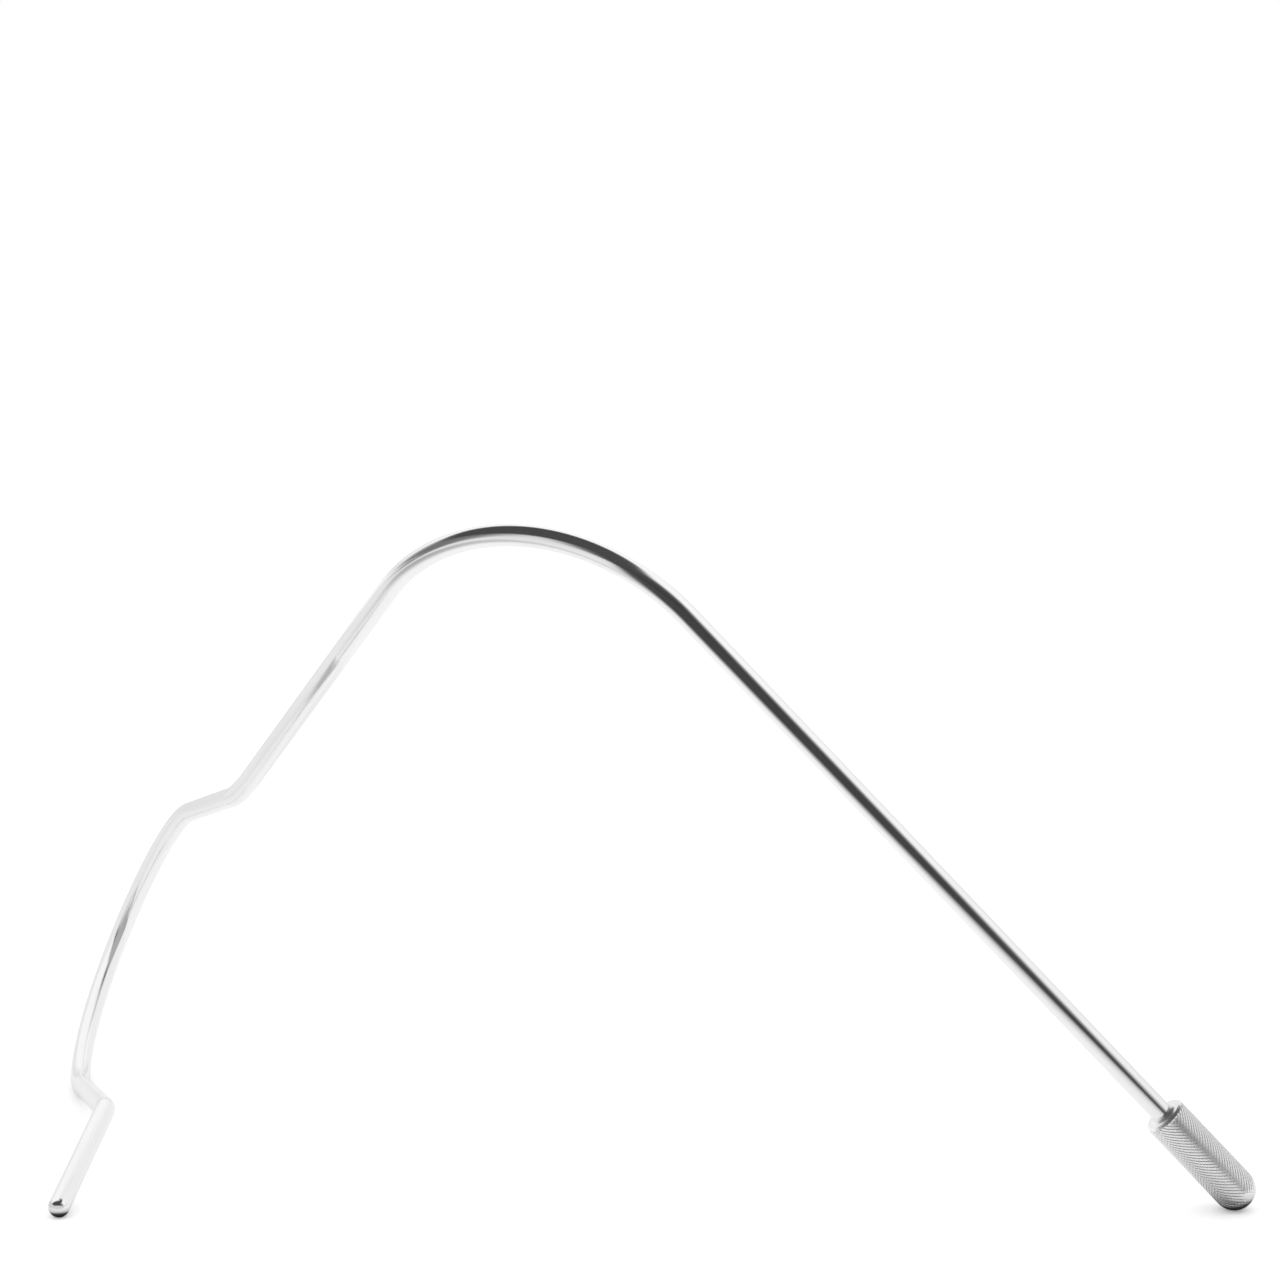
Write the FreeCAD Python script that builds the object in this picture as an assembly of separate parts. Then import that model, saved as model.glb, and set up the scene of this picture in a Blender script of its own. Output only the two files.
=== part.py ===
import FreeCAD
import Part
import math
import os

# A hook retractor: one round steel rod bent in three dimensions, with a domed tip at one end
# and a turned grip brazed onto a spigot at the other. It stands on three points, which are the
# tip, the lowest point of the hook and the dome of the grip. X runs from the tip towards the
# grip, Y from the side of the shaft towards the hook and Z up. The origin lies on the surface
# that it stands on, under the middle of its outline. Lengths are in millimetres and angles in
# degrees.

# Rod
ROD_DIAMETER = 5.0
SPIGOT_DIAMETER = 4.0
SPIGOT_LENGTH = 14.0
SPIGOT_CHAMFER = 0.3

# Bending table of the rod, from the grip to the tip. Each radius is at the rod's centre line,
# and each turn is the angle that the plane of the next bend makes with the plane before it.
SHAFT_RUN = 159.6
CREST_RADIUS = 45.2
CREST_ANGLE = 73.2
CREST_EASE_TURN = -5.9
CREST_EASE_RADIUS = 49.0
CREST_EASE_ANGLE = 30.2
ARM_RUN = 79.8
ARM_TURN = -98.5
ARM_BEND_RADIUS = 32.9
ARM_BEND_ANGLE = 30.9
REACH_RUN = 55.4
REACH_TURN = 176.5
HOOK_RADIUS = 37.1
HOOK_ANGLE = 138.4
HOOK_EASE_TURN = 3.5
HOOK_EASE_RADIUS = 42.1
HOOK_EASE_ANGLE = 36.0
RETURN_RUN = 59.1
RETURN_TURN = 163.3
TIP_BEND_RADIUS = 9.4
TIP_BEND_ANGLE = 36.6
TIP_RUN = 38.6

# Grip
GRIP_DIAMETER = 10.0
GRIP_LENGTH = 30.0
GRIP_RIM_CHAMFER = 0.6
BOSS_BASE_DIAMETER = 6.8
BOSS_TOP_DIAMETER = 5.8
BOSS_HEIGHT = 0.5

# Fit of the spigot in the grip's socket
BRAZE_GAP = 0.02
SOCKET_RELIEF = 0.5

# Rounds in which the stance is worked out, each from the one before
STANCE_ROUNDS = 40

# Values worked out from the sizes above
ROD_RADIUS = ROD_DIAMETER / 2
SPIGOT_RADIUS = SPIGOT_DIAMETER / 2
GRIP_RADIUS = GRIP_DIAMETER / 2
GRIP_FACE = -BOSS_HEIGHT
DOME_CENTRE_HEIGHT = GRIP_FACE - GRIP_LENGTH + GRIP_RADIUS
SHAFT_AXIS = FreeCAD.Vector(0, 0, 1)
SEAT = FreeCAD.Vector(0, 0, 0)


def turned(vector, axis, degrees):
    """The vector turned about an axis through the origin."""
    return FreeCAD.Rotation(axis, degrees).multVec(vector)


class Bend:
    """One bend of the rod, as an arc of its centre line."""

    def __init__(self, start, along, inward, radius, degrees):
        self.centre = start + inward * radius
        self.axis = along.cross(inward)
        self.start = start
        self.along = along
        self.radius = radius
        self.degrees = degrees

    def point(self, degrees):
        """The centre line's point at an angle past the start of the bend."""
        return self.centre + turned(self.start - self.centre, self.axis, degrees)

    def edge(self):
        """The arc as an edge."""
        middle = self.point(self.degrees / 2)
        return Part.Arc(self.start, middle, self.point(self.degrees)).toShape()

    def lowest(self, up):
        """The arc's lowest point for an upward direction."""
        rise_outward = (self.start - self.centre).dot(up)
        rise_ahead = self.along.dot(up) * self.radius
        turning_point = math.degrees(math.atan2(-rise_ahead, -rise_outward)) % 360
        stops = [0, self.degrees]
        if turning_point < self.degrees:
            stops.append(turning_point)
        return min((self.point(stop) for stop in stops), key=lambda point: point.dot(up))


class RodPath:
    """The rod's centre line, laid run by run and bend by bend as on a bending bench.

    It starts at the grip's seat and runs along the shaft, and its first bend turns towards +X.
    """

    def __init__(self):
        self.point = SEAT
        self.along = SHAFT_AXIS
        self.inward = FreeCAD.Vector(1, 0, 0)
        self.edges = []

    def run(self, length):
        """A straight run."""
        end = self.point + self.along * length
        self.edges.append(Part.LineSegment(self.point, end).toShape())
        self.point = end

    def turn(self, degrees):
        """Turns the plane of the next bend about the rod."""
        self.inward = turned(self.inward, self.along, degrees)

    def bend(self, radius, degrees):
        """A bend towards the inward side."""
        bend = Bend(self.point, self.along, self.inward, radius, degrees)
        self.edges.append(bend.edge())
        self.point = bend.point(degrees)
        self.along = turned(self.along, bend.axis, degrees)
        self.inward = turned(self.inward, bend.axis, degrees)
        return bend


def lay_rod():
    """The rod's path, the end of its crest bend and the bends that make its hook."""
    path = RodPath()
    path.run(SHAFT_RUN)
    path.bend(CREST_RADIUS, CREST_ANGLE)
    crest = path.point
    path.turn(CREST_EASE_TURN)
    path.bend(CREST_EASE_RADIUS, CREST_EASE_ANGLE)
    path.run(ARM_RUN)
    path.turn(ARM_TURN)
    path.bend(ARM_BEND_RADIUS, ARM_BEND_ANGLE)
    path.run(REACH_RUN)
    path.turn(REACH_TURN)
    hook = [path.bend(HOOK_RADIUS, HOOK_ANGLE)]
    path.turn(HOOK_EASE_TURN)
    hook.append(path.bend(HOOK_EASE_RADIUS, HOOK_EASE_ANGLE))
    path.run(RETURN_RUN)
    path.turn(RETURN_TURN)
    path.bend(TIP_BEND_RADIUS, TIP_BEND_ANGLE)
    path.run(TIP_RUN - ROD_RADIUS)
    return path, crest, hook


def spigot():
    """The rod's turned-down end, with a chamfer that leads it into the socket."""
    corners = [
        (0, 0),
        (SPIGOT_RADIUS, 0),
        (SPIGOT_RADIUS, SPIGOT_CHAMFER - SPIGOT_LENGTH),
        (SPIGOT_RADIUS - SPIGOT_CHAMFER, -SPIGOT_LENGTH),
        (0, -SPIGOT_LENGTH),
    ]
    points = [FreeCAD.Vector(radius, 0, height) for radius, height in corners]
    outline = Part.Face(Part.makePolygon(points + points[:1]))
    return outline.revolve(SEAT, SHAFT_AXIS, 360)


def bent_rod(path):
    """The round section swept along the path, with the domed tip and the spigot."""
    section = Part.Wire(Part.Circle(SEAT, SHAFT_AXIS, ROD_RADIUS).toShape())
    bar = Part.Wire(path.edges).makePipeShell([section], True, False)
    dome = Part.makeSphere(ROD_RADIUS, path.point, path.along, 0, 90, 360)
    return bar.multiFuse([dome, spigot()]).removeSplitter()


def grip():
    """The turned grip: socket, boss that seats the rod, chamfered rim, barrel and dome."""
    socket_radius = SPIGOT_RADIUS + BRAZE_GAP
    socket_bottom = -SPIGOT_LENGTH - SOCKET_RELIEF
    corners = [
        (0, socket_bottom),
        (socket_radius, socket_bottom),
        (socket_radius, 0),
        (BOSS_TOP_DIAMETER / 2, 0),
        (BOSS_BASE_DIAMETER / 2, GRIP_FACE),
        (GRIP_RADIUS - GRIP_RIM_CHAMFER, GRIP_FACE),
        (GRIP_RADIUS, GRIP_FACE - GRIP_RIM_CHAMFER),
        (GRIP_RADIUS, DOME_CENTRE_HEIGHT),
    ]
    points = [FreeCAD.Vector(radius, 0, height) for radius, height in corners]
    edges = [Part.LineSegment(start, end).toShape() for start, end in zip(points, points[1:])]
    # Halfway along the dome's quarter circle, its radius is split evenly between out and down.
    diagonal = GRIP_RADIUS / math.sqrt(2)
    dome_middle = FreeCAD.Vector(diagonal, 0, DOME_CENTRE_HEIGHT - diagonal)
    dome_top = FreeCAD.Vector(0, 0, DOME_CENTRE_HEIGHT - GRIP_RADIUS)
    edges.append(Part.Arc(points[-1], dome_middle, dome_top).toShape())
    edges.append(Part.LineSegment(dome_top, points[0]).toShape())
    outline = Part.Face(Part.Wire(edges))
    return outline.revolve(SEAT, SHAFT_AXIS, 360)


def up_over_balls(first, second, third, guess):
    """The upward direction of the surface that carries three balls, each centre and radius."""
    across = second[0] - first[0]
    along = third[0] - first[0]
    normal = across.cross(along)
    lean_across = along.cross(normal) * (second[1] - first[1])
    lean_along = normal.cross(across) * (third[1] - first[1])
    lean = (lean_across + lean_along) * (1 / normal.dot(normal))
    height = math.sqrt(1 - lean.dot(lean)) / normal.Length
    if normal.dot(guess) < 0:
        height = -height
    return lean + normal * height


def stance(path, crest, hook):
    """The turn that stands the part on its tip, its hook and the dome of its grip."""
    dome_centre = FreeCAD.Vector(0, 0, DOME_CENTRE_HEIGHT)
    tip = (path.point, ROD_RADIUS)
    dome = (dome_centre, GRIP_RADIUS)
    up = crest - (path.point + dome_centre) * 0.5
    up.normalize()
    for _ in range(STANCE_ROUNDS):
        lows = [bend.lowest(up) for bend in hook]
        lowest = (min(lows, key=lambda low: low.dot(up)), ROD_RADIUS)
        up = up_over_balls(tip, lowest, dome, up)
    right = dome_centre - path.point
    right = right - up * right.dot(up)
    right.normalize()
    back = up.cross(right)
    return FreeCAD.Placement(FreeCAD.Matrix(
        right.x, right.y, right.z, 0,
        back.x, back.y, back.z, 0,
        up.x, up.y, up.z, 0,
        0, 0, 0, 1,
    ))


def stand(nodes, placement):
    """The nodes in their stance, with the origin under the middle of the whole outline."""
    placed = {name: shape.transformed(placement.toMatrix()) for name, shape in nodes.items()}
    box = Part.makeCompound(list(placed.values())).optimalBoundingBox(False, False)
    shift = FreeCAD.Vector(-(box.XMin + box.XMax) / 2, -(box.YMin + box.YMax) / 2, -box.ZMin)
    return {name: shape.translated(shift) for name, shape in placed.items()}


def main():
    os.makedirs("parts", exist_ok=True)
    path, crest, hook = lay_rod()
    nodes = {"bent_rod": bent_rod(path), "knurled_grip": grip()}
    for name, shape in stand(nodes, stance(path, crest, hook)).items():
        shape.exportStep("parts/" + name + ".step")
        box = shape.optimalBoundingBox(False, False)
        print(name, "valid", shape.isValid(), "solids", len(shape.Solids), "volume", round(shape.Volume, 1))
        print("  from", [round(v, 2) for v in (box.XMin, box.YMin, box.ZMin)])
        print("  to", [round(v, 2) for v in (box.XMax, box.YMax, box.ZMax)])


main()
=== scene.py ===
import math
import bmesh
import bpy
from bpy.props import FloatProperty, FloatVectorProperty, IntProperty, PointerProperty
from mathutils import Matrix, Vector


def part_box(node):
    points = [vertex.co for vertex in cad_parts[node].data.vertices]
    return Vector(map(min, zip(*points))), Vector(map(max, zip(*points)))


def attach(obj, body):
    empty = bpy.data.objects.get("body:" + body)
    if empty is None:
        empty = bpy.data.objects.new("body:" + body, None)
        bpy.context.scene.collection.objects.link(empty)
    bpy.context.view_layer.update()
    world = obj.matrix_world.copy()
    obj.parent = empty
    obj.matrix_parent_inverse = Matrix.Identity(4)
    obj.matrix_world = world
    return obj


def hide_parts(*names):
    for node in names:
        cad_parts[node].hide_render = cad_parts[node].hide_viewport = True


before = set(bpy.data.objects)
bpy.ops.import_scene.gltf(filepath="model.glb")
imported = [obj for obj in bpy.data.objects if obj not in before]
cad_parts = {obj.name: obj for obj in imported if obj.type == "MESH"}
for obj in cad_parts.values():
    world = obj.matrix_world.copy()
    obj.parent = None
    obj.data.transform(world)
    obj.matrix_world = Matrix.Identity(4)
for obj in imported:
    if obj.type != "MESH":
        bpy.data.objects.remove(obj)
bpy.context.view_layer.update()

bl_info = {
    "name": "Hook Retractor",
    "version": (1, 0, 0),
    "blender": (4, 5, 0),
    "location": "View3D > Sidebar > Retractor",
    "description": "Makes a hook retractor: a bent steel rod with a domed tip and a knurled grip",
    "category": "Add Mesh",
}

MM = 0.001
TAU = 2 * math.pi
SEAT = Vector((0, 0, 0))
SHAFT_AXIS = Vector((0, 0, 1))


def millimetres(name, description, default):
    """A length property, given in millimetres."""
    return FloatProperty(name=name, description=description, default=default * MM, unit="LENGTH")


def degrees(name, description, default):
    """An angle property, given in degrees."""
    return FloatProperty(name=name, description=description, default=math.radians(default), subtype="ANGLE")


def dim_part(name, description, angles):
    """A round part of the room: its turn to the right, its lift, and the angles where it fades and ends."""
    return FloatVectorProperty(
        name=name, description=description + ": turn, lift, inner and outer angle", size=4, subtype="EULER",
        default=tuple(math.radians(angle) for angle in angles))


class RodSizes(bpy.types.PropertyGroup):
    """The rod and its bending table, from the grip to the tip."""

    diameter: millimetres("Diameter", "Diameter of the round bar", 5.0)
    spigot_diameter: millimetres("Spigot diameter", "Turned-down end inside the grip", 4.0)
    spigot_length: millimetres("Spigot length", "Length of the turned-down end", 14.0)
    spigot_chamfer: millimetres("Spigot chamfer", "Chamfer that leads the spigot in", 0.3)
    shaft_run: millimetres("Shaft", "Straight run from the grip to the crest", 159.6)
    crest_radius: millimetres("Crest radius", "First arc of the crest", 45.2)
    crest_angle: degrees("Crest angle", "First arc of the crest", 73.2)
    crest_ease_turn: degrees("Crest ease turn", "Turn of the bend's plane before the second arc", -5.9)
    crest_ease_radius: millimetres("Crest ease radius", "Second arc of the crest", 49.0)
    crest_ease_angle: degrees("Crest ease angle", "Second arc of the crest", 30.2)
    arm_run: millimetres("Arm", "Straight run down from the crest", 79.8)
    arm_turn: degrees("Arm turn", "Turn of the bend's plane before the arm's bend", -98.5)
    arm_bend_radius: millimetres("Arm bend radius", "Bend at the end of the arm", 32.9)
    arm_bend_angle: degrees("Arm bend angle", "Bend at the end of the arm", 30.9)
    reach_run: millimetres("Reach", "Straight run into the hook", 55.4)
    reach_turn: degrees("Reach turn", "Turn of the bend's plane before the hook", 176.5)
    hook_radius: millimetres("Hook radius", "First arc of the hook", 37.1)
    hook_angle: degrees("Hook angle", "First arc of the hook", 138.4)
    hook_ease_turn: degrees("Hook ease turn", "Turn of the bend's plane before the second arc", 3.5)
    hook_ease_radius: millimetres("Hook ease radius", "Second arc of the hook", 42.1)
    hook_ease_angle: degrees("Hook ease angle", "Second arc of the hook", 36.0)
    return_run: millimetres("Return", "Straight run back along the surface", 59.1)
    return_turn: degrees("Return turn", "Turn of the bend's plane before the tip", 163.3)
    tip_bend_radius: millimetres("Tip bend radius", "Bend before the tip", 9.4)
    tip_bend_angle: degrees("Tip bend angle", "Bend before the tip", 36.6)
    tip_run: millimetres("Tip run", "Straight end, with its dome", 38.6)
    sides: IntProperty(name="Sides", description="Faces round the rod", default=80, min=12)
    facet: degrees("Bend step", "Angle between two rings of a bend", 1.25)


class GripSizes(bpy.types.PropertyGroup):
    """The turned and knurled grip."""

    diameter: millimetres("Diameter", "Diameter over the knurl", 10.0)
    length: millimetres("Length", "From the end face to the top of the dome", 30.0)
    rim_chamfer: millimetres("Rim chamfer", "Chamfer round the end face", 0.6)
    boss_base_diameter: millimetres("Boss base", "Boss round the rod, at the end face", 6.8)
    boss_top_diameter: millimetres("Boss top", "Boss round the rod, at the seat", 5.8)
    boss_height: millimetres("Boss height", "Height of the boss", 0.5)
    braze_gap: millimetres("Braze gap", "Gap round the spigot", 0.02)
    socket_relief: millimetres("Socket relief", "Depth of the socket past the spigot", 0.5)
    knurl_depth: millimetres("Knurl depth", "Depth of the knurl's grooves", 0.12)
    knurl_flat: FloatProperty(
        name="Knurl flat", description="Share of each diamond's width that stays flat",
        default=0.66, min=0.05, max=0.9, subtype="FACTOR")
    knurl_starts: IntProperty(name="Knurl starts", description="Diamonds round the grip", default=32, min=8)
    knurl_fade: degrees("Knurl fade", "Angle on the dome at which the grooves would have no depth left", 58.0)


class SteelFinish(bpy.types.PropertyGroup):
    """Colours and polish of the steel, with the painted shade in the knurl's grooves."""

    rod_colour: FloatVectorProperty(
        name="Rod colour", description="Polished stainless steel", subtype="COLOR",
        size=4, min=0.0, max=1.0, default=(0.95, 0.95, 0.952, 1.0))
    grip_colour: FloatVectorProperty(
        name="Grip colour", description="Turned stainless steel", subtype="COLOR",
        size=4, min=0.0, max=1.0, default=(0.95, 0.95, 0.953, 1.0))
    # The groove colour is painted shade: it darkens the bottom of the knurl, where shade falls.
    groove_shade_colour: FloatVectorProperty(
        name="Groove colour", description="Steel at the bottom of the knurl", subtype="COLOR",
        size=4, min=0.0, max=1.0, default=(0.86, 0.86, 0.863, 1.0))


class StageSettings(bpy.types.PropertyGroup):
    """The floor, the light and the camera."""

    camera_place: FloatVectorProperty(
        name="Camera", description="Where the camera stands", subtype="TRANSLATION",
        default=(0.004235, -0.864675, 0.262239))
    camera_turn: FloatVectorProperty(
        name="Camera turn", description="Turn of the camera", subtype="EULER",
        default=tuple(math.radians(angle) for angle in (81.1008, 0.5218, 0.4262)))
    camera_sensor: FloatProperty(
        name="Sensor", description="Width of the sensor", default=36.0, unit="CAMERA")
    camera_lens: FloatProperty(name="Lens", description="Focal length", default=102.205, unit="CAMERA")
    camera_shift: FloatVectorProperty(
        name="Shift", description="Shift of the lens", size=2, default=(0.02651, -0.01314))
    floor_size: FloatProperty(name="Floor", description="Width of the floor", default=6.0, unit="LENGTH")
    front: dim_part("Front", "Dim part of the room in front", (13, 14, 21, 56))
    above: dim_part("Above", "Dim part of the room overhead", (-52, 69, 44, 54))
    left: dim_part("Left", "Dim part of the room at the left", (-80, 22, 14, 44))


def start_piece():
    """Deselects everything, so that operators act on the new piece alone."""
    if bpy.context.object is not None and bpy.context.object.mode != "OBJECT":
        bpy.ops.object.mode_set(mode="OBJECT")
    bpy.ops.object.select_all(action="DESELECT")


def extrude_ring(move):
    """Draws the selected ring out by a vector."""
    bpy.ops.mesh.extrude_region_move(TRANSFORM_OT_translate={"value": move})


class Lathe:
    """A turned surface about the Z axis, drawn out ring by ring from its first radius and height."""

    def __init__(self, sides, radius, height):
        bpy.ops.mesh.primitive_circle_add(vertices=sides, radius=radius, location=(0, 0, height))
        bpy.ops.object.transform_apply(location=True, rotation=True, scale=True)
        bpy.ops.object.mode_set(mode="EDIT")
        bpy.ops.mesh.select_all(action="SELECT")
        self.radius = radius
        self.height = height

    def to(self, radius, height):
        """Draws the next ring."""
        extrude_ring((0, 0, height - self.height))
        scale = radius / self.radius
        bpy.ops.transform.resize(value=(scale, scale, 1), center_override=(0, 0, height))
        self.radius = radius
        self.height = height

    def close(self, height):
        """Draws the ring in to a point on the axis."""
        extrude_ring((0, 0, height - self.height))
        bpy.ops.mesh.merge(type="CENTER")


def close_open_end():
    """Fills the one ring that is still open."""
    bpy.ops.mesh.select_all(action="DESELECT")
    bpy.ops.mesh.select_mode(type="EDGE")
    bpy.ops.mesh.select_non_manifold()
    bpy.ops.mesh.edge_face_add()
    bpy.ops.mesh.select_mode(type="VERT")
    bpy.ops.mesh.select_all(action="SELECT")
    bpy.ops.mesh.normals_make_consistent(inside=False)


class Bend:
    """One bend of the rod, as an arc of its centre line."""

    def __init__(self, start, along, inward, radius, angle):
        self.start = start
        self.along = along
        self.radius = radius
        self.angle = angle
        self.centre = start + inward * radius
        self.axis = along.cross(inward)

    def point(self, angle):
        """The centre line's point at an angle past the start of the bend."""
        return self.centre + Matrix.Rotation(angle, 3, self.axis) @ (self.start - self.centre)

    def lowest(self, up):
        """The arc's lowest point for an upward direction."""
        rise_outward = (self.start - self.centre).dot(up)
        rise_ahead = self.along.dot(up) * self.radius
        turning_point = math.atan2(-rise_ahead, -rise_outward) % TAU
        stops = [0, self.angle]
        if turning_point < self.angle:
            stops.append(turning_point)
        return min((self.point(stop) for stop in stops), key=lambda point: point.dot(up))


class Bench:
    """A bending bench: it draws the rod's end ring out, run by run and bend by bend."""

    def __init__(self, facet):
        self.point = SEAT.copy()
        self.along = SHAFT_AXIS.copy()
        self.inward = Vector((1, 0, 0))
        self.facet = facet

    def run(self, length):
        """A straight run."""
        extrude_ring(self.along * length)
        self.point = self.point + self.along * length

    def turn(self, angle):
        """Turns the plane of the next bend about the rod."""
        self.inward = Matrix.Rotation(angle, 3, self.along) @ self.inward

    def bend(self, radius, angle):
        """A bend towards the inward side."""
        bend = Bend(self.point, self.along, self.inward, radius, angle)
        steps = math.ceil(angle / self.facet)
        bpy.ops.mesh.spin(steps=steps, angle=-angle, center=bend.centre, axis=bend.axis)
        turning = Matrix.Rotation(angle, 3, bend.axis)
        self.point = bend.point(angle)
        self.along = turning @ self.along
        self.inward = turning @ self.inward
        return bend


def draw_rod(rod):
    """Draws the rod from its spigot to its tip, and returns its tip's centre and its main bends."""
    radius = rod.diameter / 2
    spigot = rod.spigot_diameter / 2
    lathe = Lathe(rod.sides, spigot - rod.spigot_chamfer, -rod.spigot_length)
    lathe.to(spigot, rod.spigot_chamfer - rod.spigot_length)
    lathe.to(spigot, 0)
    lathe.to(radius, 0)
    bench = Bench(rod.facet)
    bench.run(rod.shaft_run)
    bench.bend(rod.crest_radius, rod.crest_angle)
    crest = bench.point
    bench.turn(rod.crest_ease_turn)
    bench.bend(rod.crest_ease_radius, rod.crest_ease_angle)
    bench.run(rod.arm_run)
    bench.turn(rod.arm_turn)
    bench.bend(rod.arm_bend_radius, rod.arm_bend_angle)
    bench.run(rod.reach_run)
    bench.turn(rod.reach_turn)
    hook = [bench.bend(rod.hook_radius, rod.hook_angle)]
    bench.turn(rod.hook_ease_turn)
    hook.append(bench.bend(rod.hook_ease_radius, rod.hook_ease_angle))
    bench.run(rod.return_run)
    bench.turn(rod.return_turn)
    bench.bend(rod.tip_bend_radius, rod.tip_bend_angle)
    bench.run(rod.tip_run - radius)
    draw_dome(bench.point, bench.along, radius)
    close_open_end()
    return bench.point, crest, hook


DOME_RINGS = 20


def draw_dome(centre, along, radius):
    """Draws the end ring in to a half ball."""
    depth = 0.0
    width = radius
    for ring in range(1, DOME_RINGS):
        angle = ring * math.pi / 2 / DOME_RINGS
        extrude_ring(along * (radius * math.sin(angle) - depth))
        depth = radius * math.sin(angle)
        scale = radius * math.cos(angle) / width
        width = radius * math.cos(angle)
        bpy.ops.transform.resize(value=(scale, scale, scale), center_override=centre + along * depth)
    extrude_ring(along * (radius - depth))
    bpy.ops.mesh.merge(type="CENTER")


def name_piece(name):
    """Leaves edit mode and names the new piece."""
    bpy.ops.object.mode_set(mode="OBJECT")
    piece = bpy.context.object
    piece.name = name
    piece.data.name = name
    return piece


# Places nearer than this count as the same
SAME_PLACE = 0.01 * MM


def write_bar_places(piece, radius):
    """Gives each vertex its place on the bar before it was bent, for patterns that follow the rod."""
    mesh = bmesh.new()
    mesh.from_mesh(piece.data)
    bar = mesh.verts.layers.float_vector.new("bar")
    shaft = [vertex for vertex in mesh.verts if vertex.co.xy.length < radius + SAME_PLACE]
    lowest = min(vertex.co.z for vertex in shaft)
    ring = [vertex for vertex in shaft if vertex.co.z < lowest + SAME_PLACE]
    for vertex in ring:
        vertex[bar] = vertex.co
    done = set(ring)
    along = lowest
    centre = sum((vertex.co for vertex in ring), Vector()) / len(ring)
    while ring:
        onward = {}
        for vertex in ring:
            for edge in vertex.link_edges:
                other = edge.other_vert(vertex)
                if other not in done:
                    onward[other] = vertex
        done.update(onward)
        ring = list(onward)
        if ring:
            next_centre = sum((vertex.co for vertex in ring), Vector()) / len(ring)
            along += (next_centre - centre).length
            centre = next_centre
        for vertex, before in onward.items():
            vertex[bar] = Vector((before[bar][0], before[bar][1], along))
    mesh.to_mesh(piece.data)
    mesh.free()


def up_over_balls(first, second, third, guess):
    """The upward direction of the surface that carries three balls, each centre and radius."""
    across = second[0] - first[0]
    along = third[0] - first[0]
    normal = across.cross(along)
    lean_across = along.cross(normal) * (second[1] - first[1])
    lean_along = normal.cross(across) * (third[1] - first[1])
    lean = (lean_across + lean_along) / normal.dot(normal)
    height = math.sqrt(1 - lean.dot(lean)) / normal.length
    if normal.dot(guess) < 0:
        height = -height
    return lean + normal * height


STANCE_ROUNDS = 40


def dome_centre(grip):
    """The centre of the grip's dome."""
    return SHAFT_AXIS * (grip.diameter / 2 - grip.length - grip.boss_height)


def stance(rod, grip, tip_centre, crest, hook):
    """The turn that stands the part on its tip, its hook and the dome of its grip."""
    tip = (tip_centre, rod.diameter / 2)
    dome = (dome_centre(grip), grip.diameter / 2)
    up = (crest - (tip[0] + dome[0]) * 0.5).normalized()
    for _ in range(STANCE_ROUNDS):
        lows = [bend.lowest(up) for bend in hook]
        lowest = (min(lows, key=lambda low: low.dot(up)), rod.diameter / 2)
        up = up_over_balls(tip, lowest, dome, up)
    right = dome[0] - tip[0]
    right = (right - up * right.dot(up)).normalized()
    back = up.cross(right)
    return Matrix((right, back, up)).to_4x4()


def low_corner(piece):
    """The lowest corner of a piece's box."""
    return Vector([min(vertex.co[axis] for vertex in piece.data.vertices) for axis in range(3)])


def high_corner(piece):
    """The highest corner of a piece's box."""
    return Vector([max(vertex.co[axis] for vertex in piece.data.vertices) for axis in range(3)])


# How far a piece may miss its node's box
FIT_TOLERANCE = 0.1 * MM


def stand(piece, turning, node):
    """Turns a piece into its stance and moves it onto its node, whose box it has to fill."""
    low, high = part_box(node)
    piece.matrix_world = turning
    bpy.ops.object.transform_apply(location=True, rotation=True, scale=True)
    piece.location = (low + high) / 2 - (low_corner(piece) + high_corner(piece)) / 2
    bpy.ops.object.transform_apply(location=True, rotation=True, scale=True)
    misfit = max((low_corner(piece) - low).length, (high_corner(piece) - high).length)
    if misfit > FIT_TOLERANCE:
        raise RuntimeError(f"{piece.name} leaves the box of {node} by {misfit / MM:.3f} mm")


class Signal:
    """A value that varies over a surface: one output socket, with plain arithmetic."""

    def __init__(self, finish, socket):
        self.finish = finish
        self.socket = socket

    def _with(self, operation, other):
        return self.finish.value("ShaderNodeMath", {"operation": operation}, {0: self, 1: other})

    def __add__(self, other):
        return self._with("ADD", other)

    __radd__ = __add__

    def __mul__(self, other):
        return self._with("MULTIPLY", other)

    __rmul__ = __mul__

    def __sub__(self, other):
        return self._with("SUBTRACT", other)

    def __rsub__(self, other):
        return self.finish.value("ShaderNodeMath", {"operation": "SUBTRACT"}, {0: other, 1: self})

    def __truediv__(self, other):
        return self._with("DIVIDE", other)


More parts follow.
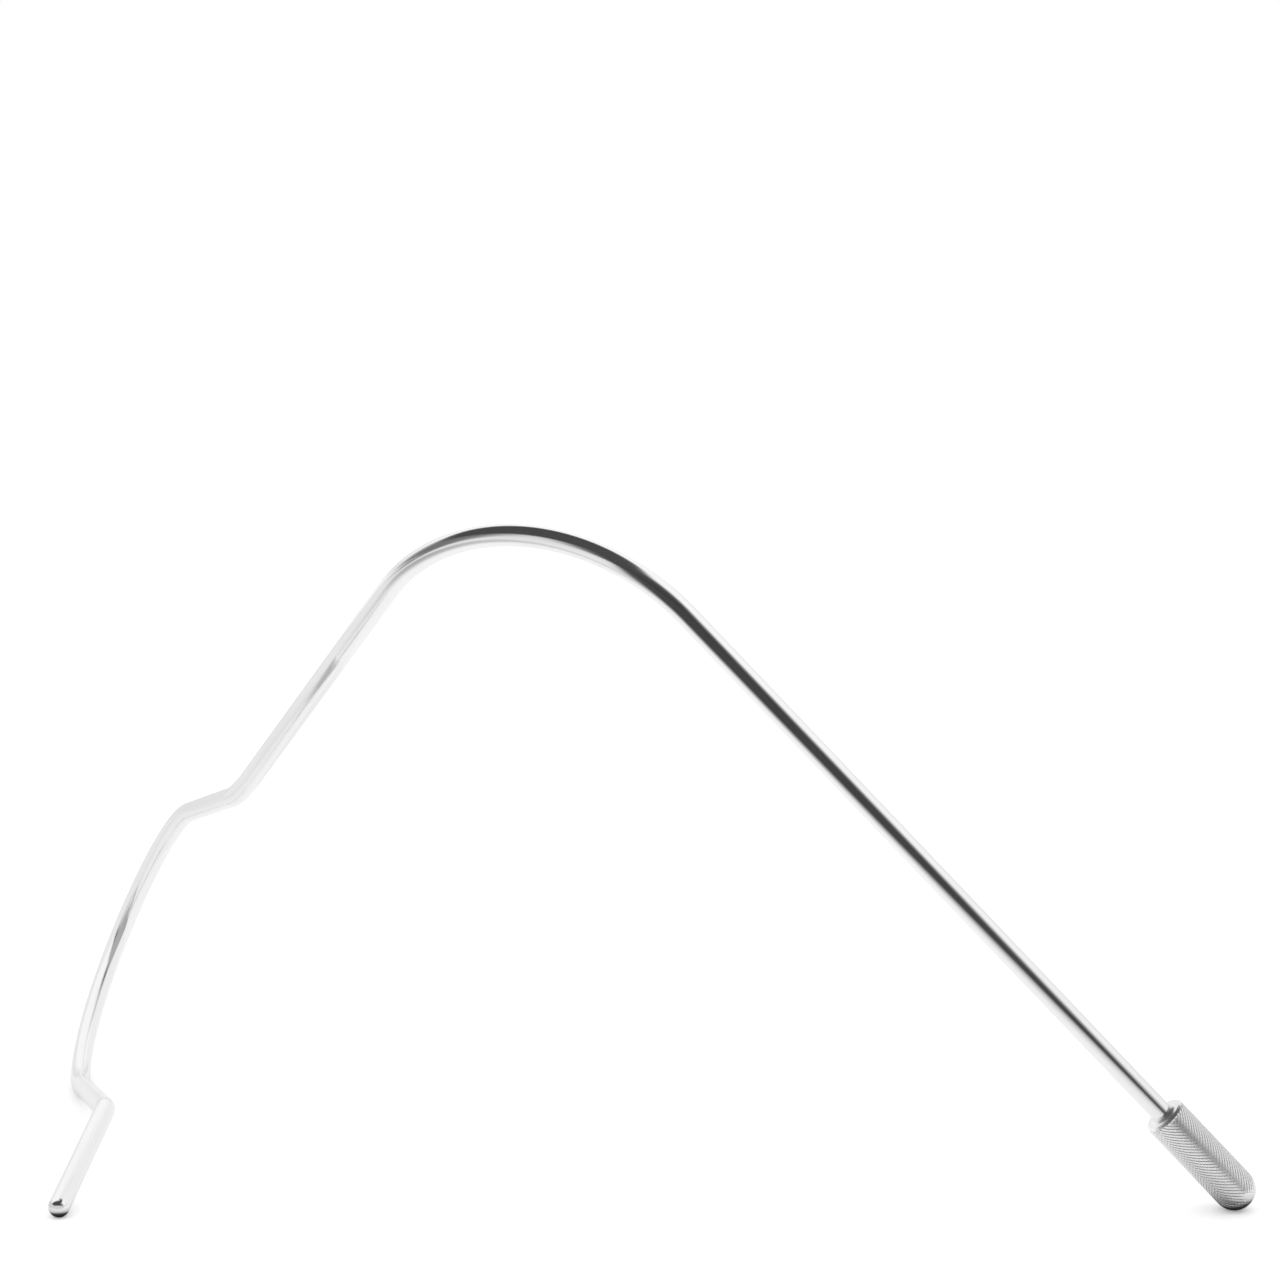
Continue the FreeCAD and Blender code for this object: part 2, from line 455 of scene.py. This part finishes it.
class Finish:
    """The nodes that make a material's finish, or the light of the surroundings."""

    def __init__(self, owner):
        self.owner = owner
        owner.use_nodes = True
        self.nodes = owner.node_tree.nodes
        self.links = owner.node_tree.links
        self.nodes.clear()

    def node(self, kind, settings, inputs):
        """A node with its settings, and with values or signals on its sockets."""
        node = self.nodes.new(kind)
        for setting, choice in settings.items():
            setattr(node, setting, choice)
        for socket, given in inputs.items():
            if isinstance(given, Signal):
                self.links.new(given.socket, node.inputs[socket])
            else:
                node.inputs[socket].default_value = given
        return node

    def value(self, kind, settings, inputs, output=0):
        """One output of a new node, as a signal."""
        return Signal(self, self.node(kind, settings, inputs).outputs[output])

    def show(self, surface, output="ShaderNodeOutputMaterial"):
        """Makes a shader the surface, or the light of the surroundings."""
        self.node(output, {}, {"Surface": surface})

    def attribute(self, name):
        """A vector attribute of the piece."""
        return self.value("ShaderNodeAttribute", {"attribute_name": name}, {}, "Vector")

    def stretched(self, place, stretch):
        """A place with each axis stretched."""
        return self.value("ShaderNodeMapping", {}, {"Vector": place, "Scale": stretch})

    def noise(self, place, scale, detail):
        """Soft noise from 0 to 1."""
        inputs = {"Vector": place, "Scale": scale, "Detail": detail}
        return self.value("ShaderNodeTexNoise", {}, inputs, "Fac")

    def ramp(self, signal, low, high):
        """The signal from 0 at a low value to 1 at a high one, held at both ends."""
        return self.value(
            "ShaderNodeMapRange", {"clamp": True, "interpolation_type": "SMOOTHSTEP"},
            {"Value": signal, "From Min": low, "From Max": high}, "Result")


# The Mix node's sockets for colours, which share their names with those for numbers
MIX_FIRST = 6
MIX_SECOND = 7
MIX_RESULT = 2


def colour_mix(finish, share, first, second):
    """A colour between two, by a share from 0 to 1."""
    inputs = {0: share, MIX_FIRST: first, MIX_SECOND: second}
    return finish.value("ShaderNodeMix", {"data_type": "RGBA"}, inputs, MIX_RESULT)


def steel(finish, colour, rough, bump):
    """Shows bare steel of this colour, roughness and bump."""
    finish.show(finish.value("ShaderNodeBsdfPrincipled", {}, {
        "Base Color": colour, "Metallic": 1.0, "Roughness": rough, "Normal": bump}))


# The rod's finish: how its noise is stretched along the bar, and what it adds to the roughness
LINE_STRETCH = (9000, 9000, 60)
CLOUD_STRETCH = (220, 220, 40)
ROD_ROUGH = 0.10
LINE_ROUGH = 0.05
CLOUD_ROUGH = 0.05
CLOUDED_SHARE = 0.96
CLOUD_EDGES = (0.35, 0.65)
LINE_BUMP = {"Strength": 0.08, "Distance": 0.02 * MM}


def polished_rod(look):
    """Steel polished along the rod: fine lines, faint handling marks and a little cloudiness."""
    finish = Finish(bpy.data.materials.new("rod_steel_polished"))
    bar = finish.attribute("bar")
    lines = finish.noise(finish.stretched(bar, LINE_STRETCH), 1.0, 2.0)
    clouds = finish.noise(finish.stretched(bar, CLOUD_STRETCH), 1.0, 3.0)
    rough = ROD_ROUGH + lines * LINE_ROUGH + clouds * CLOUD_ROUGH
    clouded = tuple(CLOUDED_SHARE * part for part in look.rod_colour[:3]) + (1.0,)
    clear = finish.ramp(lines * 0.5 + clouds * 0.5, *CLOUD_EDGES)
    colour = colour_mix(finish, clear, clouded, tuple(look.rod_colour))
    steel(finish, colour, rough, finish.value("ShaderNodeBump", {}, {**LINE_BUMP, "Height": lines}, "Normal"))
    return finish.owner


# The grip's finish: its noise, what each part adds to the roughness, and where rim and flats end
RING_SCALE = 12000.0
SPECK_SCALE = 2600.0
FACE_ROUGH = 0.32
BARREL_ROUGH = -0.06
GROOVE_ROUGH = 0.10
SPECK_ROUGH = 0.06
RIM_EDGE = 0.9
FLAT_EDGE = 0.1
GROOVE_FADE = 1.0 * MM
RING_HEIGHT = 0.6
SPECK_HEIGHT = 0.4
MARK_BUMP = {"Strength": 0.15, "Distance": 0.03 * MM}


def knurled_steel(look, grip):
    """Turned steel: clean flats, knurl grooves darkened with painted shade, and fine rings on the end face.
    """
    finish = Finish(bpy.data.materials.new("grip_steel_knurled"))
    place = finish.attribute("lathe")
    split = finish.node("ShaderNodeSeparateXYZ", {}, {"Vector": place})
    across = Signal(finish, split.outputs["X"])
    away = Signal(finish, split.outputs["Y"])
    height = Signal(finish, split.outputs["Z"])
    radius = finish.value("ShaderNodeMath", {"operation": "SQRT"}, {0: across * across + away * away})
    from_axis = finish.value("ShaderNodeCombineXYZ", {}, {"X": radius, "Y": 0.0, "Z": 0.0})
    rings = finish.noise(from_axis, RING_SCALE, 2.0)
    specks = finish.noise(place, SPECK_SCALE, 3.0)
    outer = grip.diameter / 2
    face = -grip.boss_height
    dome = dome_centre(grip).z
    barrel = finish.ramp(height, face - grip.rim_chamfer * RIM_EDGE, face - grip.rim_chamfer)
    flat = finish.ramp(radius, outer - grip.knurl_depth, outer - FLAT_EDGE * grip.knurl_depth)
    # The grooves' mask adds roughness and mixes in the groove colour, which is painted shade.
    groove = (1 - flat) * barrel * finish.ramp(height, dome - GROOVE_FADE, dome)
    colour = colour_mix(finish, groove, tuple(look.grip_colour), tuple(look.groove_shade_colour))
    rough = FACE_ROUGH + BARREL_ROUGH * barrel + GROOVE_ROUGH * groove + SPECK_ROUGH * specks
    marks = rings * RING_HEIGHT + specks * SPECK_HEIGHT
    steel(finish, colour, rough, finish.value("ShaderNodeBump", {}, {**MARK_BUMP, "Height": marks}, "Normal"))
    return finish.owner


# Edges sharper than these stay sharp
SMOOTH_ROD = math.radians(30)
SMOOTH_GRIP = math.radians(25)


class RETRACTOR_OT_bent_rod(bpy.types.Operator):
    """Bends the rod, polishes it and stands it on its tip and its hook"""

    bl_idname = "retractor.bent_rod"
    bl_label = "Bent Rod"

    def execute(self, context):
        rod = context.scene.retractor_rod
        start_piece()
        tip_centre, crest, hook = draw_rod(rod)
        piece = name_piece("rod")
        write_bar_places(piece, rod.diameter / 2)
        turning = stance(rod, context.scene.retractor_grip, tip_centre, crest, hook)
        context.scene["retractor_stance"] = [value for row in turning for value in row]
        stand(piece, turning, "bent_rod")
        bpy.ops.object.shade_smooth_by_angle(angle=SMOOTH_ROD)
        piece.data.materials.append(polished_rod(context.scene.retractor_steel))
        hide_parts("bent_rod")
        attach(piece, "root")
        return {"FINISHED"}


class Knurl:
    """The diamond knurl's lattice of columns and rows on the barrel and the start of the dome."""

    def __init__(self, grip):
        self.columns = 2 * grip.knurl_starts
        self.outer = grip.diameter / 2
        self.top = -grip.boss_height - grip.rim_chamfer
        self.dome = dome_centre(grip).z
        spacing = TAU * self.outer / self.columns
        self.barrel_rows = 2 * round((self.top - self.dome) / spacing / 2)
        self.row_height = (self.top - self.dome) / self.barrel_rows
        self.dome_rows = round(math.pi / 2 * self.outer / spacing)
        self.dome_step = math.pi / 2 / self.dome_rows
        self.knurled_rows = self.barrel_rows + round(grip.knurl_fade / self.dome_step)
        self.depth = grip.knurl_depth
        self.flat = grip.knurl_flat

    def ring(self, row):
        """The radius and height of a row."""
        if row <= self.barrel_rows:
            return self.outer, self.top - row * self.row_height
        angle = (row - self.barrel_rows) * self.dome_step
        return self.outer * math.cos(angle), self.dome - self.outer * math.sin(angle)

    def column_of(self, place):
        """The column on which a place lies."""
        return round(math.atan2(place.y, place.x) / TAU * self.columns)

    def depth_at(self, row):
        """The grooves' depth, which lessens over the dome."""
        if row <= self.barrel_rows:
            return self.depth
        return self.depth * (self.knurled_rows - row) / (self.knurled_rows - self.barrel_rows)

    def peak_at(self, row):
        """How far a diamond's peak stands out before it is cut back to its flat."""
        return self.depth_at(row) * self.flat / (1 - self.flat)


# The knurl ends where the dome is narrower than this share of the barrel, with little of its depth left
INNERMOST_KNURL = 0.7


def cut_knurl(piece, knurl):
    """Cuts the knurl's grooves into the barrel."""
    heights = [knurl.ring(row)[1] for row in range(knurl.knurled_rows + 1)]

    def row_of(place):
        if place.xy.length < knurl.outer * INNERMOST_KNURL or place.z > heights[0] + SAME_PLACE:
            return None
        row = min(range(len(heights)), key=lambda index: abs(heights[index] - place.z))
        if abs(heights[row] - place.z) > SAME_PLACE:
            return None
        return row

    mesh = bmesh.from_edit_mesh(piece.data)
    lattice = mesh.verts.layers.int.new("lattice")
    for vertex in mesh.verts:
        row = row_of(vertex.co)
        vertex[lattice] = 0
        if row is not None:
            is_groove = (row + knurl.column_of(vertex.co)) % 2 == 0
            vertex[lattice] = (row + 1) * (1 if is_groove else -1)
    bmesh.update_edit_mesh(piece.data)

    def select(chosen):
        bpy.ops.mesh.select_all(action="DESELECT")
        lattice_mesh = bmesh.from_edit_mesh(piece.data)
        marks = lattice_mesh.verts.layers.int["lattice"]
        for vertex in lattice_mesh.verts:
            if chosen(vertex[marks]):
                vertex.select = True
        bmesh.update_edit_mesh(piece.data)

    def swell(rise, row, chosen):
        """Moves chosen vertices of a row out from the barrel's axis, or from the dome's centre."""
        select(chosen)
        scale = 1 + rise / knurl.outer
        along = 1 if row <= knurl.barrel_rows else scale
        bpy.ops.transform.resize(value=(scale, scale, along), center_override=(0, 0, knurl.dome))

    select(lambda mark: mark > 0)
    bpy.ops.mesh.vert_connect()
    select(lambda mark: mark == 1)
    bpy.ops.transform.translate(value=(0, 0, knurl.depth))
    barrel = knurl.barrel_rows
    swell(-knurl.depth, barrel, lambda mark: 0 < mark <= barrel + 1)
    swell(knurl.peak_at(barrel), barrel, lambda mark: -barrel - 1 <= mark < -1)
    for row in range(barrel + 1, knurl.knurled_rows):
        swell(-knurl.depth_at(row), row, lambda mark, row=row: mark == row + 1)
        swell(knurl.peak_at(row), row, lambda mark, row=row: mark == -row - 1)
    select(lambda mark: -knurl.knurled_rows <= mark < -1)
    bpy.ops.mesh.bevel(offset_pct=100 * knurl.flat, offset_type="PERCENT", affect="VERTICES")


def draw_grip(rod, grip):
    """Turns the grip from its socket to its dome, and knurls it."""
    knurl = Knurl(grip)
    face = -grip.boss_height
    socket = rod.spigot_diameter / 2 + grip.braze_gap
    lathe = Lathe(knurl.columns, socket, -rod.spigot_length - grip.socket_relief)
    lathe.to(socket, 0)
    lathe.to(grip.boss_top_diameter / 2, 0)
    lathe.to(grip.boss_base_diameter / 2, face)
    lathe.to(knurl.outer - grip.rim_chamfer, face)
    rows = knurl.barrel_rows + knurl.dome_rows
    for row in range(rows):
        lathe.to(*knurl.ring(row))
    lathe.close(knurl.dome - knurl.outer)
    close_open_end()
    cut_knurl(bpy.context.object, knurl)
    bpy.ops.mesh.select_all(action="SELECT")
    bpy.ops.mesh.normals_make_consistent(inside=False)


def write_lathe_places(piece):
    """Gives each vertex its place on the lathe, for rings and knurl marks about the grip's axis."""
    places = piece.data.attributes.new("lathe", "FLOAT_VECTOR", "POINT")
    for vertex in piece.data.vertices:
        places.data[vertex.index].vector = vertex.co


class RETRACTOR_OT_knurled_grip(bpy.types.Operator):
    """Turns the grip, knurls it and stands it on its dome"""

    bl_idname = "retractor.knurled_grip"
    bl_label = "Knurled Grip"

    def execute(self, context):
        grip = context.scene.retractor_grip
        start_piece()
        draw_grip(context.scene.retractor_rod, grip)
        piece = name_piece("grip")
        write_lathe_places(piece)
        numbers = context.scene["retractor_stance"]
        turning = Matrix([numbers[row * 4:row * 4 + 4] for row in range(4)])
        stand(piece, turning, "knurled_grip")
        bpy.ops.object.shade_smooth_by_angle(angle=SMOOTH_GRIP)
        piece.data.materials.append(knurled_steel(context.scene.retractor_steel, grip))
        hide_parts("knurled_grip")
        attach(piece, "root")
        return {"FINISHED"}


WHITE = (1.0, 1.0, 1.0, 1.0)
BLACK = (0.0, 0.0, 0.0, 1.0)

# The room: how much of its light a dim part takes away, and the dimmer band above the horizon
DARK_SHARE = 0.945
LEFT_SHARE = 0.84
HORIZON_SHARE = 0.24
HORIZON_LIFT = math.radians(35)


def toward(turn, lift):
    """A direction: its turn to the right from the front, and its lift above the floor."""
    return Vector((math.sin(turn) * math.cos(lift), -math.cos(turn) * math.cos(lift), math.sin(lift)))


def spread(finish, direction, part):
    """1 within a round part of the room, and 0 past its edge."""
    turn, lift, inner, outer = part
    facing = finish.value(
        "ShaderNodeVectorMath", {"operation": "DOT_PRODUCT"}, {0: direction, 1: toward(turn, lift)}, "Value")
    return finish.ramp(facing, math.cos(outer), math.cos(inner))


def studio_world(stage):
    """White all round. What polished steel reflects of it is dim in front, overhead and at the left."""
    finish = Finish(bpy.data.worlds.new("studio"))
    direction = finish.value("ShaderNodeTexCoord", {}, {}, "Generated")
    glossy = finish.value("ShaderNodeLightPath", {}, {}, "Is Glossy Ray")
    rise = Signal(finish, finish.node("ShaderNodeSeparateXYZ", {}, {"Vector": direction}).outputs["Z"])
    lit = 1 - HORIZON_SHARE * (1 - finish.ramp(rise, 0.0, math.sin(HORIZON_LIFT)))
    open_front = 1 - spread(finish, direction, stage.front)
    open_above = 1 - spread(finish, direction, stage.above)
    open_left = 1 - LEFT_SHARE * spread(finish, direction, stage.left)
    lit = lit * (1 - DARK_SHARE * (1 - open_front * open_above * open_left))
    colour = colour_mix(finish, glossy * (1 - lit), WHITE, BLACK)
    background = finish.value("ShaderNodeBackground", {}, {"Color": colour, "Strength": 1.0})
    finish.show(background, "ShaderNodeOutputWorld")
    return finish.owner


# The floor: its areas of painted shade, which only the steel's reflections see, each from where it starts to
# where it is full
FLOOR_WHITE = (0.97, 0.97, 0.97, 1.0)
FLOOR_LIFT = 0.20
FRONT_DEPTH = (-0.070, -0.228)
FRONT_SIDE = (-0.138, -0.078)
FRONT_SLANT = 0.25
FRONT_FULL = -0.23
SPOT_MIDDLE = (-0.300, -0.145)
SPOT_SIZE = (0.260, 0.100)
SPOT_SHARE = 0.45
SIDE_REACH = (-0.060, -0.320)
SIDE_SHARE = 0.20
FAR_REACH = (-0.450, -1.100)
FAR_SLANT = 0.8
FAR_BACK = (0.100, -0.200)
FAR_BACK_SLANT = 0.3
FAR_SHARE = 0.75

# Where the part touches the floor: the painted contact shadow's dark spot and its paler painted round, in
# radii of what stands there
CONTACT_INNER = 0.9
CONTACT_OUTER = 1.9
ROUND_OUTER = 6.0
ROUND_SHARE = 0.25


def shade_round(finish, place, contact, radius, outer):
    """1 on the floor where a ball of this radius stands, and 0 from an outer number of radii on: the mask of
    a painted contact shadow.
    """
    away = finish.value(
        "ShaderNodeVectorMath", {"operation": "DISTANCE"}, {0: place, 1: (contact.x, contact.y, 0)}, "Value")
    return finish.ramp(away, outer * radius, CONTACT_INNER * radius)


def floor_finish(standing):
    """A white floor that takes the object's shadow. What steel reflects of it carries painted shade in
    places, and a painted contact shadow where the part stands.
    """
    finish = Finish(bpy.data.materials.new("floor_white"))
    path = finish.node("ShaderNodeLightPath", {}, {})
    glossy = Signal(finish, path.outputs["Is Glossy Ray"])
    seen = Signal(finish, path.outputs["Is Camera Ray"])
    place = finish.value("ShaderNodeTexCoord", {}, {}, "Object")
    split = finish.node("ShaderNodeSeparateXYZ", {}, {"Vector": place})
    across = Signal(finish, split.outputs["X"])
    back = Signal(finish, split.outputs["Y"])
    # Areas of painted shade, seen in reflections alone: in front, a spot at the left, the left side and far
    # off at the left.
    front_side = finish.ramp(across - FRONT_SLANT * (back - FRONT_FULL), *FRONT_SIDE)
    front = finish.ramp(back, *FRONT_DEPTH) * front_side
    from_spot_x = (across - SPOT_MIDDLE[0]) / SPOT_SIZE[0]
    from_spot_y = (back - SPOT_MIDDLE[1]) / SPOT_SIZE[1]
    spot = finish.ramp(from_spot_x * from_spot_x + from_spot_y * from_spot_y, 1.0, 0.0)
    side = finish.ramp(across, *SIDE_REACH)
    far = finish.ramp(across - FAR_SLANT * back, *FAR_REACH)
    far = far * finish.ramp(back + FAR_BACK_SLANT * across, *FAR_BACK)
    lit = (1 - DARK_SHARE * front) * (1 - SPOT_SHARE * spot) * (1 - SIDE_SHARE * side) * (1 - FAR_SHARE * far)
    # A painted contact shadow round each place where the part stands, seen in reflections alone.
    for contact, radius in standing:
        lit = lit * (1 - DARK_SHARE * shade_round(finish, place, contact, radius, CONTACT_OUTER))
        lit = lit * (1 - ROUND_SHARE * shade_round(finish, place, contact, radius, ROUND_OUTER))
    colour = colour_mix(finish, glossy * (1 - lit), FLOOR_WHITE, BLACK)
    paper = finish.value("ShaderNodeBsdfDiffuse", {}, {"Color": colour})
    lift = finish.value("ShaderNodeEmission", {}, {"Color": WHITE, "Strength": seen * FLOOR_LIFT})
    finish.show(finish.value("ShaderNodeAddShader", {}, {0: paper, 1: lift}))
    return finish.owner


# The panels near the hook and the tip: name, strength, middle, width and height, and facing
QUARTER = math.pi / 2
DOWN = (2 * QUARTER, 0, 0)
BACKWARD = (-QUARTER, 0, 0)
LEFTWARD = (0, -QUARTER, 0)
RIGHTWARD = (0, QUARTER, 0)
PANEL_FADE = 0.18
HOOK_PANELS = (
    ("panel_over_hook", 0.98, (-0.290, 0.220, 0.156), (0.520, 0.560), DOWN),
    ("panel_over_tip", 0.98, (-0.300, -0.035, 0.154), (0.440, 0.150), DOWN),
    ("panel_beside_hook", 0.90, (-0.062, 0.120, 0.060), (0.140, 0.400), LEFTWARD),
    ("panel_left_of_hook", 0.85, (-0.300, 0.140, 0.060), (0.180, 0.460), RIGHTWARD),
    ("panel_before_hook", 0.42, (-0.134, -0.040, 0.074), (0.150, 0.120), BACKWARD),
)
# These stand where the tip does, so their middles are counted from there
TIP_PANELS = (
    ("panel_before_tip", 0.66, (0, -0.0145, 0.0040), (0.050, 0.0120), BACKWARD),
    ("panel_left_of_tip", 0.66, (-0.0145, 0, 0.0042), (0.0120, 0.036), RIGHTWARD),
)


def panel_finish(name, strength):
    """A white or grey panel, lit on its front alone, that fades out towards its edges."""
    finish = Finish(bpy.data.materials.new(name))
    split = finish.node("ShaderNodeSeparateXYZ", {}, {"Vector": finish.value("ShaderNodeUVMap", {}, {})})
    share = 1 - finish.value("ShaderNodeNewGeometry", {}, {}, "Backfacing")
    for axis in ("X", "Y"):
        place = Signal(finish, split.outputs[axis])
        share = share * finish.ramp(place, 0.0, PANEL_FADE) * finish.ramp(place, 1.0, 1 - PANEL_FADE)
    lit = finish.value("ShaderNodeEmission", {}, {"Color": WHITE, "Strength": strength})
    clear = finish.value("ShaderNodeBsdfTransparent", {}, {})
    finish.show(finish.value("ShaderNodeMixShader", {}, {0: share, 1: clear, 2: lit}))
    return finish.owner


def lay_panel(name, strength, middle, size, facing):
    """A panel which only shows in what the steel reflects."""
    start_piece()
    bpy.ops.mesh.primitive_plane_add(size=1, location=middle, rotation=facing)
    panel = bpy.context.object
    panel.name = name
    panel.scale = (size[0], size[1], 1)
    bpy.ops.object.transform_apply(location=True, rotation=True, scale=True)
    panel.data.materials.append(panel_finish(name, strength))
    panel.visible_camera = False
    panel.visible_diffuse = False
    panel.visible_shadow = False
    panel.visible_transmission = False


def contacts(scene):
    """Where the grip's dome and the rod's tip stand on the floor, each with its radius."""
    grip = bpy.data.objects["grip"].data.vertices
    rod = bpy.data.objects["rod"].data.vertices
    dome = min((vertex.co for vertex in grip), key=lambda place: place.z)
    tip = min((vertex.co for vertex in rod if vertex.co.y < 0), key=lambda place: place.z)
    return (dome, scene.retractor_grip.diameter / 2), (tip, scene.retractor_rod.diameter / 2)


class RETRACTOR_OT_stage(bpy.types.Operator):
    """Lays the floor, lights it and sets the camera"""

    bl_idname = "retractor.stage"
    bl_label = "Stage"

    def execute(self, context):
        stage = context.scene.retractor_stage
        start_piece()
        bpy.ops.mesh.primitive_plane_add(size=stage.floor_size, location=(0, 0, 0))
        floor = bpy.context.object
        floor.name = "floor"
        bpy.ops.object.transform_apply(location=True, rotation=True, scale=True)
        standing = contacts(context.scene)
        floor.data.materials.append(floor_finish(standing))
        for panel in HOOK_PANELS:
            lay_panel(*panel)
        tip = standing[1][0]
        for name, strength, offset, size, facing in TIP_PANELS:
            middle = (tip.x + offset[0], tip.y + offset[1], offset[2])
            lay_panel(name, strength, middle, size, facing)
        context.scene.world = studio_world(stage)
        bpy.ops.object.camera_add(location=stage.camera_place, rotation=stage.camera_turn)
        camera = bpy.context.object
        camera.data.sensor_width = stage.camera_sensor
        camera.data.lens = stage.camera_lens
        camera.data.shift_x = stage.camera_shift[0]
        camera.data.shift_y = stage.camera_shift[1]
        context.scene.camera = camera
        context.scene.view_settings.view_transform = "Standard"
        return {"FINISHED"}


class RETRACTOR_PT_sidebar(bpy.types.Panel):
    """Lists the retractor's pieces and sizes"""

    bl_idname = "RETRACTOR_PT_sidebar"
    bl_label = "Hook Retractor"
    bl_space_type = "VIEW_3D"
    bl_region_type = "UI"
    bl_category = "Retractor"

    def draw(self, context):
        for operator in OPERATORS:
            self.layout.operator(operator.bl_idname)
        for name in SETTINGS:
            group = getattr(context.scene, name)
            box = self.layout.box()
            for key in group.__annotations__:
                box.prop(group, key)


OPERATORS = (RETRACTOR_OT_bent_rod, RETRACTOR_OT_knurled_grip, RETRACTOR_OT_stage)
SETTINGS = {
    "retractor_rod": RodSizes,
    "retractor_grip": GripSizes,
    "retractor_steel": SteelFinish,
    "retractor_stage": StageSettings,
}
CLASSES = tuple(SETTINGS.values()) + OPERATORS + (RETRACTOR_PT_sidebar,)


def register():
    for cls in CLASSES:
        bpy.utils.register_class(cls)
    for name, group in SETTINGS.items():
        setattr(bpy.types.Scene, name, PointerProperty(type=group))


def unregister():
    for name in SETTINGS:
        delattr(bpy.types.Scene, name)
    for cls in reversed(CLASSES):
        bpy.utils.unregister_class(cls)


def main():
    register()
    bpy.ops.retractor.bent_rod()
    bpy.ops.retractor.knurled_grip()
    bpy.ops.retractor.stage()


if __name__ == "__main__":
    main()
